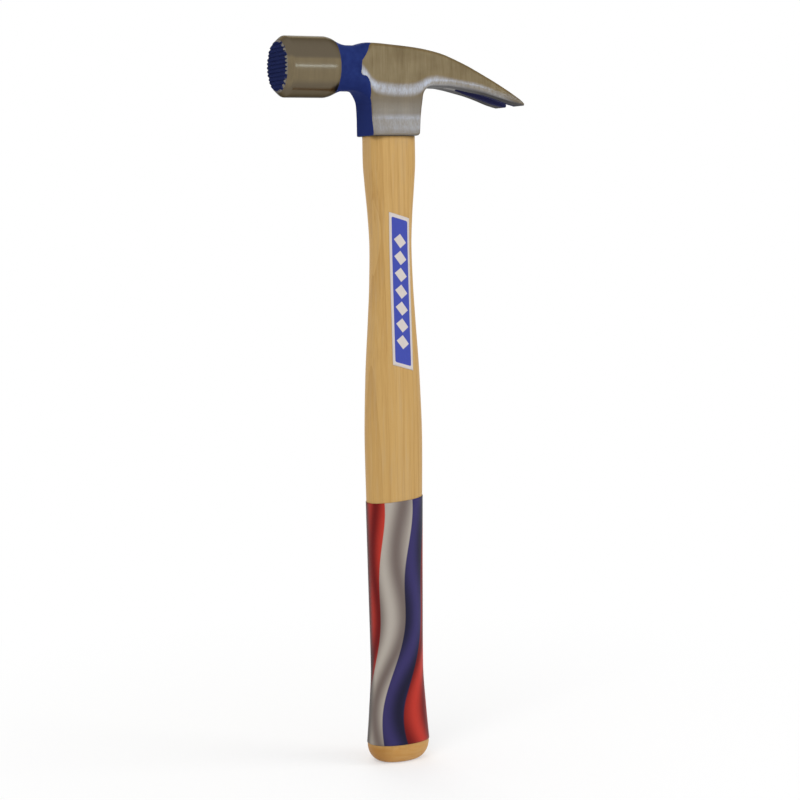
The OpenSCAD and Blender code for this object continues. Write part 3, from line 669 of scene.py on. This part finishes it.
def makeToothFinish():                       # paint, with bare steel where the bevel cuts the teeth
    finish, tree, shader = newFinish("milled_paint", **{
        "Roughness": bluePaint["rough"], "Specular IOR Level": bluePaint["sheen"],
        "Specular Tint": (*steel["edgeTint"], 1)})
    coords = nodeIn(tree, "ShaderNodeTexCoord").outputs
    place = coords["Object"]
    part, lean = partsIn(tree, place), partsIn(tree, coords["Normal"])[2]
    up = mathIn(tree, "SUBTRACT", part[2], head["axis"] * mm)
    rho = lengthIn(tree, joinIn(tree, {1: part[1], 2: up}))
    cone = mathIn(tree, "MULTIPLY_ADD", mathIn(tree, "ADD", part[0], faceFloor * mm), rimSlope, floorRim * mm)
    beyond = mathIn(tree, "MULTIPLY", mathIn(tree, "SUBTRACT", rho, cone), 1 / mm)
    bare = groupNode(tree, wornEdges, Vector=place, Edge=mathIn(tree, "ADD", beyond, 0.2),
                     Spots=bluePaint["edgeSpots"], Ragged=bluePaint["toothRagged"], Width=0.06)["Mask"]
    paint = mixIn(tree, noiseIn(tree, place, 300.0, 3.0), bluePaint["faceDeep"], bluePaint["faceLight"])
    # Painted light: paint on the teeth's downward-facing flanks is lighter, evening out their shade
    paint = mixIn(tree, rangeIn(tree, lean, 0.1, -0.5, 0.0, 0.8), paint, bluePaint["faceFillLight"])
    plug(tree, shader.inputs["Base Color"], mixIn(tree, bare, paint, steel["scale"]))
    plug(tree, shader.inputs["Metallic"], bare)
    bumpInto(tree, shader, noiseIn(tree, place, 1200.0, 2.0), 0.2, 0.0001)
    return finish


toothShape = toothMesh()
milledTeeth = bakedPiece("milled_teeth", teethTree(), {
    "Pitch": teeth["pitch"] * mm, "Rows": teeth["rows"], "Reach": teeth["reach"] * mm,
    "Rim": floorRim * mm, "Slope": rimSlope, "Wear": teeth["wear"], "Seed": teeth["seed"],
    "Place": (-faceFloor * mm, 0, head["axis"] * mm), "Tooth": toothShape, "Finish": makeToothFinish(),
})
bpy.data.objects.remove(toothShape)
print("teeth milled:", len(milledTeeth.data.polygons), "faces")


# Handle: ovals up a straight axis, with the tenon and its kerfs

handle = {
    "length": 39, "width": 26.8, "buttRound": 11, "buttShare": 0.45, "gap": 0.08, "tenonDip": 0.75,
    "around": 120, "along": 120, "wedgeOffset": 6.4, "wedgeTurn": 14, "wedgeGap": 0.06, "kerfOver": 2,
    "woodWedge": (4.4, 0.9, 31, 27.2),       # thickness at the top and at the tip, length, width
    "steelWedge": (2.8, 0.6, 17, 12),
}
handleLine = [                               # share of the height, length and width, squareness, shift
    (0.03, 1, 1, 2.2, 0), (0.08, 0.914, 0.963, 2.2, 0), (0.155, 0.826, 0.905, 2.2, 0),
    (0.28, 0.858, 0.896, 2.2, 0), (0.42, 0.896, 0.936, 2.2, 0.2), (0.52, 0.922, 0.948, 2.2, 0.5),
    (0.62, 0.86, 0.925, 2.25, 0.7), (0.71, 0.744, 0.858, 2.3, 0.9), (0.77, 0.672, 0.81, 2.35, 1),
    (0.83, 0.64, 0.772, 2.45, 1), (0.875, 0.675, 0.765, 2.65, 1), (0.925, 0.745, 0.776, 3, 1),
    (0.96, 0.776, 0.786, 3.4, 1), (1, 0.767, 0.798, 3.6, 1),
]


def ovalRing(length, width, squareness, shift, z):
    a = np.radians(360 * np.arange(handle["around"]) / handle["around"])
    c, s, power = np.cos(a), np.sin(a), 2 / squareness
    return np.stack([
        shift + length * np.sign(c) * np.abs(c) ** power, width * np.sign(s) * np.abs(s) ** power,
        np.full(len(a), float(z))], 1)


def woodSize(z):                             # half-length, half-width, squareness and shift at a height
    t, rise = z / foot, max(handle["buttRound"] - z, 0) / handle["buttRound"]
    scale = 1 - handle["buttShare"] * (1 - math.sqrt(1 - rise * rise))
    line = [float(smoothLine(handleLine, t, c)) for c in (1, 2, 3, 4)]
    return (handle["length"] / 2 * scale * line[0], handle["width"] / 2 * scale * line[1], line[2],
            head["eyeShift"] * line[3])


def eyeRing(t, gap):
    wear = head["eyeWaist"] * (1 - (2 * t - 1) ** 2) + gap
    return ovalRing(head["eyeHalfLength"] - wear, head["eyeHalfWidth"] - wear, head["eyeSquareness"],
                    head["eyeShift"], foot + t * (crown - foot))


def tenonRings():                            # the last ring leans with the head's top, a little under it
    rings = [eyeRing(t, handle["gap"]) for t in np.linspace(0, 1, 13)]
    rings[0][:, 2] -= handle["gap"]
    half, middle = head["eyeHalfLength"], head["eyeShift"]
    front, back = (float(smoothLine(topLine, middle + s * half)) for s in (-1, 1))
    rings[-1][:, 2] = ((front + back) / 2 - head["arch"] - handle["tenonDip"]
                       + (rings[-1][:, 0] - middle) * (back - front) / (2 * half))
    return rings


def skinRings(name, rings):
    count, points = len(rings[0]), np.concatenate(rings)
    faces = []
    for r in range(len(rings) - 1):
        a = r * count + np.arange(count)
        b = r * count + (np.arange(count) + 1) % count
        faces += np.stack([a, b, b + count, a + count], 1).tolist()
    faces += [list(range(count))[::-1], list(range(len(points) - count, len(points)))]
    return meshPiece(name, points, faces)


def kerfBlade(size, x, turn):                # a wedge with its gap, carried on above the crown
    thick, tip, length, width = size
    gap, top = handle["wedgeGap"], crown + handle["kerfOver"]
    c, s = math.cos(turn), math.sin(turn)
    points = []
    for along in (-width / 2 - gap, width / 2 + gap):
        for half, z in ((tip / 2 + gap, crown - length - gap), (thick / 2 + gap, top)):
            for side in (-half, half):
                points.append((x + along * c - side * s, along * s + side * c, z))
    faces = [(0, 1, 3, 2), (4, 6, 7, 5), (0, 4, 5, 1), (2, 3, 7, 6), (1, 5, 7, 3), (0, 2, 6, 4)]
    return meshPiece("kerf", points, faces, smooth=False)


heights = [handle["buttRound"] * (1 - math.cos(a)) for a in np.radians(np.arange(0, 86, 5))]
heights += np.linspace(handle["buttRound"], foot - handle["gap"], handle["along"]).tolist()
hickoryHandle = skinRings("hickory_handle", [ovalRing(*woodSize(z), z) for z in heights] + tenonRings())
blades = [kerfBlade(handle["woodWedge"], head["eyeShift"], 0)]
for side in (-1, 1):
    blades.append(kerfBlade(handle["steelWedge"], head["eyeShift"] + side * handle["wedgeOffset"],
                            math.radians(90 + side * handle["wedgeTurn"])))
for blade in blades:
    cut = hickoryHandle.modifiers.new("kerf", "BOOLEAN")
    cut.operation, cut.solver, cut.object = "DIFFERENCE", "EXACT", blade
depsgraph = bpy.context.evaluated_depsgraph_get()
carved = bpy.data.meshes.new_from_object(hickoryHandle.evaluated_get(depsgraph), depsgraph=depsgraph)
hickoryHandle.modifiers.clear()
hickoryHandle.data = carved
for blade in blades:
    bpy.data.objects.remove(blade)
print("handle turned:", len(carved.polygons), "faces")

wood = {
    "pale": (0.570, 0.352, 0.124), "dark": (0.40, 0.215, 0.06), "dull": (0.50, 0.355, 0.19),
    "butt": (0.52, 0.245, 0.055), "buttPale": (0.62, 0.37, 0.135), "buttEdge": (0.33, 0.14, 0.025),
    "buttUp": (9, 14), "buttFront": (-7, -17), "rings": 230.0, "figure": 0.4, "rough": 0.42,
    "sheen": 0.12, "coat": 0.04,
    "wedgePale": (0.40, 0.25, 0.115), "wedgeDark": (0.19, 0.105, 0.043), "wedgeRings": 520.0,
}
wedgeMetal = {"dark": (0.07, 0.065, 0.06), "light": (0.22, 0.2, 0.18), "rough": (0.65, 0.42)}


def makeHickory(name, pale, dark, rings, coat):
    finish, tree, shader = newFinish(name, **{
        "Coat Roughness": 0.3, "Coat Weight": coat, "Specular IOR Level": wood["sheen"]})
    place = nodeIn(tree, "ShaderNodeTexCoord").outputs["Object"]
    part = partsIn(tree, place)
    figure = groupNode(tree, woodFigure, Vector=place, Pale=(*pale, 1), Dark=(*dark, 1), Rings=rings,
                       Figure=wood["figure"])
    handled = groupNode(tree, streaks, Vector=place, Across=(1, 1, 0.04), Scale=300.0,
                        Contrast=1.2)["Value"]
    color = mixIn(tree, rangeIn(tree, handled, 0.35, 0.75, 0.0, 0.3), figure["Color"], dark)
    patchy = groupNode(tree, streaks, Vector=place, Across=(1, 1, 0.07), Scale=520.0,
                       Contrast=1.6)["Value"]
    color = mixIn(tree, rangeIn(tree, patchy, 0.5, 0.85, 0.0, 0.45), color, wood["dull"])

    # End grain round the butt, darker towards the face's side
    layers = groupNode(tree, streaks, Vector=place, Across=(0.2, 0.2, 1), Scale=520.0,
                       Contrast=2.2)["Value"]
    endGrain = mixIn(tree, layers, wood["butt"], wood["buttPale"])
    front = placeIn(tree, part[0], wood["buttFront"], 0.0, 0.85, True)
    endGrain = mixIn(tree, front, endGrain, wood["buttEdge"])
    warm = placeIn(tree, part[2], wood["buttUp"], 0.85, 0.0, True)
    plug(tree, shader.inputs["Base Color"], mixIn(tree, warm, color, endGrain))
    rough = rangeIn(tree, handled, 0.2, 0.8, wood["rough"] - 0.05, wood["rough"] + 0.1)
    plug(tree, shader.inputs["Roughness"], rough)
    bumpInto(tree, shader, figure["Height"], 0.25, 0.00015)
    return finish


def makeWedgeSteel():
    finish, tree, shader = newFinish("wedge_steel", **{"Metallic": 1.0})
    place = nodeIn(tree, "ShaderNodeTexCoord").outputs["Object"]
    scale = groupNode(tree, streaks, Vector=place, Across=(1, 1, 0.4), Scale=500.0,
                      Contrast=1.4)["Value"]
    plug(tree, shader.inputs["Base Color"], mixIn(tree, scale, wedgeMetal["dark"], wedgeMetal["light"]))
    plug(tree, shader.inputs["Roughness"], rangeIn(tree, scale, 0.2, 0.8, *wedgeMetal["rough"]))
    bumpInto(tree, shader, scale, 0.3, 0.0002)
    return finish


def dressMesh(mesh, finish):
    mesh.materials.clear()
    mesh.materials.append(finish)


dressMesh(carved, makeHickory("hickory", wood["pale"], wood["dark"], wood["rings"], wood["coat"]))
dressMesh(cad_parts["wood_wedge"].data,
          makeHickory("wedge_wood", wood["wedgePale"], wood["wedgeDark"], wood["wedgeRings"], 0.0))
wedgeSteel = makeWedgeSteel()
for name in ("front_steel_wedge", "back_steel_wedge"):
    dressMesh(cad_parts[name].data, wedgeSteel)


# Label and sleeve: thin sheets that follow the wood, each with its own map

label = {
    "width": 13.6, "length": 90.5, "skew": 4.1, "drop": 44.5, "offset": 1.9, "inner": 0.08,
    "thick": 0.15, "rows": 90, "columns": 25, "sideBorder": 1.5, "endBorder": 2.2, "corner": 1.0,
    "blur": 0.1, "blue": (0.048, 0.066, 0.345), "lightBlue": (0.05376, 0.07392, 0.3864),
    "cream": (0.62, 0.56, 0.52), "rough": 0.4, "sheen": 0.15,
    "pitch": 10, "markHalf": 4, "markSlope": 2.4, "markReach": (35.2, 34.8),
}
sleeve = {
    "start": 12, "length": 149.4, "tilt": 2.7, "inner": 0.08, "thick": 0.25, "rows": 110,
    "columns": 120, "red": (0.14, 0.004, 0.004), "brightRed": (0.48, 0.035, 0.022),
    "pale": (0.42, 0.375, 0.325), "grey": (0.16, 0.125, 0.11), "navy": (0.010, 0.009, 0.030),
    # The edge colour is painted shade, laid as a strip at the turn given below
    "blue": (0.038, 0.030, 0.118), "edge": (0.012, 0.005, 0.006), "rough": 0.38, "coat": 0.06,
    "sheen": 0.1, "waves": 2.0, "drift": -1.4, "shift": 20.3, "folds": 3.0, "bands": (0.24, 0.55, 0.80),
    "sways": ((11.0, 0.0, 0.32), (5.2, 1.0, 0.5)), "foldSway": (9.0, 0.0, 1.3),
    "shadeTurn": 0.445, "shadeWide": (0.03, 0.10),
}


def nearPlace(x, z, raised):                 # a place on the near side of the handle
    length, width, squareness, shift = woodSize(z)
    t = min(abs(x - shift) / (length + raised), 1)
    return x, -(width + raised) * (1 - t ** squareness) ** (1 / squareness), z


def roundPlace(a, z, raised):                # a place at an angle round the handle
    length, width, squareness, shift = woodSize(z)
    c, s, power = math.cos(a), math.sin(a), 2 / squareness
    return (shift + (length + raised) * math.copysign(abs(c) ** power, c),
            (width + raised) * math.copysign(abs(s) ** power, s), z)


def sheetMesh(name, outer, inner, flatPlace, closed):
    rows, columns = outer.shape[:2]
    points = np.concatenate([outer.reshape(-1, 3), inner.reshape(-1, 3)])
    index = np.arange(len(points)).reshape(2, rows, columns)
    wrap = columns if closed else columns - 1
    faces, corners = [], []

    def addFace(spots):                      # each spot is a side, a row and a column
        faces.append([index[side, r, c % columns] for side, r, c in spots])
        corners.extend(flatPlace(r, c) for side, r, c in spots)

    for r in range(rows - 1):
        for c in range(wrap):
            ring = [(r, c), (r, c + 1), (r + 1, c + 1), (r + 1, c)]
            addFace([(0, *spot) for spot in ring])
            addFace([(1, *spot) for spot in ring[::-1]])
    for c in range(wrap):
        for r, a, b in ((0, c + 1, c), (rows - 1, c, c + 1)):
            addFace([(0, r, a), (0, r, b), (1, r, b), (1, r, a)])
    if not closed:
        for r in range(rows - 1):
            for c, a, b in ((0, r, r + 1), (columns - 1, r + 1, r)):
                addFace([(0, a, c), (0, b, c), (1, b, c), (1, a, c)])
    piece = meshPiece(name, points, faces)
    layer = piece.data.uv_layers.new(name="flat")
    layer.data.foreach_set("uv", np.asarray(corners, np.float32).ravel())
    return piece


def labelSheet():
    rows, columns, top = label["rows"], label["columns"], foot - label["drop"]

    def gridPlace(u, v, raised):
        z = top - u * label["skew"] - (1 - v) * label["length"]
        return nearPlace(label["offset"] + (u - 0.5) * label["width"], z, raised)

    def flatPlace(r, c):
        return c / (columns - 1) * label["width"] * mm, r / (rows - 1) * label["length"] * mm

    sheets = [np.array([
        [gridPlace(u, v, raised) for u in np.linspace(0, 1, columns)] for v in np.linspace(0, 1, rows)])
        for raised in (label["inner"] + label["thick"], label["inner"])]
    return sheetMesh("handle_label", *sheets, flatPlace, False)


def sleeveSheet():
    rows, columns = sleeve["rows"], sleeve["columns"]

    def gridPlace(c, v, raised):
        a = 2 * math.pi * c / columns
        z = sleeve["start"] + v * (sleeve["length"] + sleeve["tilt"] / 2 * math.cos(a))
        return roundPlace(a, z, raised)

    def flatPlace(r, c):
        return c / columns, r / (rows - 1) * sleeve["length"] * mm

    sheets = [np.array([
        [gridPlace(c, v, raised) for c in range(columns)] for v in np.linspace(0, 1, rows)])
        for raised in (sleeve["inner"] + sleeve["thick"], sleeve["inner"])]
    return sheetMesh("grip_sleeve", *sheets, flatPlace, True)


handleLabel, gripSleeve = labelSheet(), sleeveSheet()
print("label and sleeve laid")


def makeLabelFinish():
    finish, tree, shader = newFinish("label_film", **{
        "Roughness": label["rough"], "Specular IOR Level": label["sheen"]})
    flat = nodeIn(tree, "ShaderNodeUVMap", uv_map="flat").outputs[0]
    part = partsIn(tree, flat)
    width, length = label["width"] * mm, label["length"] * mm
    side = mathIn(tree, "ABSOLUTE", mathIn(tree, "SUBTRACT", part[0], width / 2))
    along = mathIn(tree, "SUBTRACT", part[1], length / 2)
    ends = mathIn(tree, "ABSOLUTE", along)

    # Panel with rounded corners inside the border
    over = {}
    for axis, value, size, border in ((0, side, width, "sideBorder"), (1, ends, length, "endBorder")):
        limit = size / 2 - (label[border] + label["corner"]) * mm
        over[axis] = mathIn(tree, "MAXIMUM", mathIn(tree, "SUBTRACT", value, limit), 0.0)
    rim = (label["corner"] + label["blur"], label["corner"] - label["blur"])
    inside = placeIn(tree, lengthIn(tree, joinIn(tree, over)), rim)

    # Row of lozenges along the middle; the 100.5 keeps the share positive and centres one of them
    share = mathIn(tree, "ADD", mathIn(tree, "DIVIDE", along, label["pitch"] * mm), 100.5)
    cell = mathIn(tree, "ABSOLUTE", mathIn(tree, "SUBTRACT", mathIn(tree, "FRACT", share), 0.5))
    lozenge = mathIn(tree, "ADD", mathIn(tree, "DIVIDE", side, label["markHalf"] * mm),
                     mathIn(tree, "MULTIPLY", cell, label["markSlope"]))
    marks = mathIn(tree, "MULTIPLY", rangeIn(tree, lozenge, 1.04, 0.98),
                   placeIn(tree, ends, label["markReach"]))
    blue = mixIn(tree, noiseIn(tree, flat, 700.0, 2.0), label["blue"], label["lightBlue"])
    color = mixIn(tree, inside, label["cream"], mixIn(tree, marks, blue, label["cream"]))
    plug(tree, shader.inputs["Base Color"], color)
    bumpInto(tree, shader, noiseIn(tree, flat, 260.0, 2.0), 0.08, 0.0002)
    return finish


def swayIn(tree, high, turns, start, size):
    angle = mathIn(tree, "ADD", mathIn(tree, "MULTIPLY", high, turns), start)
    return mathIn(tree, "MULTIPLY", mathIn(tree, "SINE", angle), size)


def makeSleeveFinish():
    finish, tree, shader = newFinish("printed_film", **{
        "Coat Weight": sleeve["coat"], "Coat Roughness": 0.2, "Specular IOR Level": sleeve["sheen"]})
    part = partsIn(tree, nodeIn(tree, "ShaderNodeUVMap", uv_map="flat").outputs[0])
    place = nodeIn(tree, "ShaderNodeTexCoord").outputs["Object"]
    turn = mathIn(tree, "MULTIPLY", part[0], 2 * math.pi)
    high = mathIn(tree, "MULTIPLY", part[1], 1 / (sleeve["length"] * mm))

    # Waves that drift and sway on their way up, in bands of red, pale and navy
    sway = mathIn(tree, "ADD", *(swayIn(tree, high, *values) for values in sleeve["sways"]))
    phase = mathIn(tree, "ADD", mathIn(tree, "MULTIPLY", turn, sleeve["waves"]), sway)
    phase = mathIn(tree, "ADD", phase, mathIn(tree, "MULTIPLY", high, sleeve["drift"]))
    turns = mathIn(tree, "MULTIPLY", mathIn(tree, "ADD", phase, sleeve["shift"]), 1 / (2 * math.pi))
    wave = mathIn(tree, "FRACT", turns)
    fold = mathIn(tree, "ADD", mathIn(tree, "MULTIPLY", phase, sleeve["folds"]),
                  swayIn(tree, high, *sleeve["foldSway"]))
    shade = rangeIn(tree, mathIn(tree, "SINE", fold), -1.0, 1.0)
    pale = mixIn(tree, shade, sleeve["grey"], sleeve["pale"])
    red = mixIn(tree, shade, sleeve["red"], sleeve["brightRed"])
    navy = mixIn(tree, shade, sleeve["navy"], sleeve["blue"])
    color = red
    for start, band in zip(sleeve["bands"], (pale, navy, red)):
        color = mixIn(tree, rangeIn(tree, wave, start - 0.005, start + 0.005), color, band)

    # Painted shade: a dark strip along the side of the face
    strip = mathIn(tree, "ABSOLUTE", mathIn(tree, "SUBTRACT", part[0], sleeve["shadeTurn"]))
    color = mixIn(tree, rangeIn(tree, strip, *sleeve["shadeWide"], 0.9, 0.0, True), color, sleeve["edge"])
    plug(tree, shader.inputs["Base Color"], color)
    dust = groupNode(tree, streaks, Vector=place, Across=(1, 1, 0.3), Scale=260.0,
                     Contrast=1.3)["Value"]
    rough = rangeIn(tree, dust, 0.2, 0.8, sleeve["rough"] - 0.06, sleeve["rough"] + 0.1)
    plug(tree, shader.inputs["Roughness"], rough)
    bumpInto(tree, shader, noiseIn(tree, place, 130.0, 2.0), 0.12, 0.0006)
    return finish


handleLabel.data.materials.append(makeLabelFinish())
gripSleeve.data.materials.append(makeSleeveFinish())


# Every piece rides on the one body, and all but the teeth stand for a CAD node

for piece, node, slot in (
        (forgedHead, "head", "forged_steel"), (milledTeeth, None, "forged_steel"),
        (hickoryHandle, "handle", "hickory"), (handleLabel, "label", "label_film"),
        (gripSleeve, "grip_film", "printed_film")):
    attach(piece, "root")
    if node:
        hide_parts(node)
print("pieces placed")


# Floor, light and camera

stage = {                                    # the floor's size and fade in metres, its drop in millimetres
    "floorSize": 6.0, "floorDrop": 0.05, "floorTone": 0.98, "fadeStart": 0.03, "fadeEnd": 0.45,
    "nearGlow": 0.45, "worldLight": 0.62,
}
camera = {                                   # place and aim in millimetres, roll in degrees
    "place": (-486.6, -1015.8, 340.3), "aim": (4.15, -1.99, 221.1), "roll": -0.983,
    "pixels": 1880.7, "frame": 800, "sensor": 36.0,
}
lamps = {                                    # places and sizes in metres, power in watts
    "high_left": {"place": (-0.9, -0.9, 1.5), "aim": (0, 0, 0.3), "size": (0.9, 0.6), "power": 9.0,
                  "mirrored": False},
    "strip_front": {"place": (0.47, -1.08, 0.43), "aim": (-0.05, 0, 0.42), "size": (1.0, 0.035),
                    "power": 1.25, "tone": (0.44, 0.62, 1.0)},
    "high_right": {"place": (1.0, -0.7, 1.1), "aim": (0, 0, 0.25), "size": (0.6, 0.8), "power": 5.0,
                   "mirrored": False},
    "behind": {"place": (0.3, 1.2, 1.2), "aim": (0, 0, 0.25), "size": (1.0, 0.6), "power": 4.0},
}


def seenIn(tree):                            # one for what the camera sees, also in mirrors or through glass
    rays = nodeIn(tree, "ShaderNodeLightPath").outputs
    indirect = mathIn(tree, "MAXIMUM", rays["Is Glossy Ray"], rays["Is Transmission Ray"])
    return mathIn(tree, "MAXIMUM", rays["Is Camera Ray"], indirect)


def makeFloor():
    half, z = stage["floorSize"] / 2 / mm, -stage["floorDrop"]
    corners = [(-half, -half, z), (half, -half, z), (half, half, z), (-half, half, z)]
    floor = meshPiece("floor", corners, [(0, 1, 2, 3)], smooth=False)
    finish, tree, shader = newFinish("floor", **{
        "Base Color": (*[stage["floorTone"]] * 3, 1), "Roughness": 0.9, "Specular IOR Level": 0.1})
    far = lengthIn(tree, nodeIn(tree, "ShaderNodeTexCoord").outputs["Object"])
    fade = rangeIn(tree, far, stage["fadeStart"], stage["fadeEnd"], stage["nearGlow"], 1.0, True)
    share = mathIn(tree, "MULTIPLY", fade, seenIn(tree))
    glow = nodeIn(tree, "ShaderNodeEmission", {"Color": (1, 1, 1, 1), "Strength": 1.0})
    mix = nodeIn(tree, "ShaderNodeMixShader", {0: share, 1: shader.outputs[0], 2: glow.outputs[0]})
    plug(tree, tree.nodes["Material Output"].inputs["Surface"], mix.outputs[0])
    floor.data.materials.append(finish)


def makeWorld():
    world = bpy.data.worlds.new("studio")
    bpy.context.scene.world = world
    world.use_nodes = True
    tree = world.node_tree
    tree.nodes.clear()
    soft = nodeIn(tree, "ShaderNodeBackground", {
        "Color": (1, 0.99, 0.97, 1), "Strength": stage["worldLight"]})
    white = nodeIn(tree, "ShaderNodeBackground", {"Color": (1, 1, 1, 1), "Strength": 1.0})
    mix = nodeIn(tree, "ShaderNodeMixShader", {0: seenIn(tree), 1: soft.outputs[0], 2: white.outputs[0]})
    nodeIn(tree, "ShaderNodeOutputWorld", {"Surface": mix.outputs[0]})


def softLamp(name, place, aim, size, power, tone=(1, 1, 1), mirrored=True):
    lamp = bpy.data.lights.new(name, "AREA")
    lamp.shape, lamp.size, lamp.size_y, lamp.energy, lamp.color = "RECTANGLE", size[0], size[1], power, tone
    held = bpy.data.objects.new(name, lamp)
    bpy.context.scene.collection.objects.link(held)
    held.location = place
    held.rotation_euler = (Vector(aim) - Vector(place)).to_track_quat("-Z", "Y").to_euler()
    held.visible_glossy = mirrored


def makeCamera():
    place, aim = Vector(camera["place"]) * mm, Vector(camera["aim"]) * mm
    ahead = (aim - place).normalized()
    right = ahead.cross(Vector((0, 0, 1))).normalized()
    up = right.cross(ahead)
    c, s = math.cos(math.radians(camera["roll"])), math.sin(math.radians(camera["roll"]))
    across, above = right * c + up * s, up * c - right * s
    lens = bpy.data.cameras.new("camera")
    lens.sensor_width = camera["sensor"]
    lens.lens = camera["pixels"] / camera["frame"] * lens.sensor_width
    held = bpy.data.objects.new("camera", lens)
    bpy.context.scene.collection.objects.link(held)
    held.matrix_world = Matrix((across, above, -ahead)).transposed().to_4x4()
    held.location = place
    bpy.context.scene.camera = held


makeFloor()
makeWorld()
for name, lamp in lamps.items():
    softLamp(name, **lamp)
makeCamera()
bpy.context.scene.view_settings.view_transform = "Standard"

print("finished")
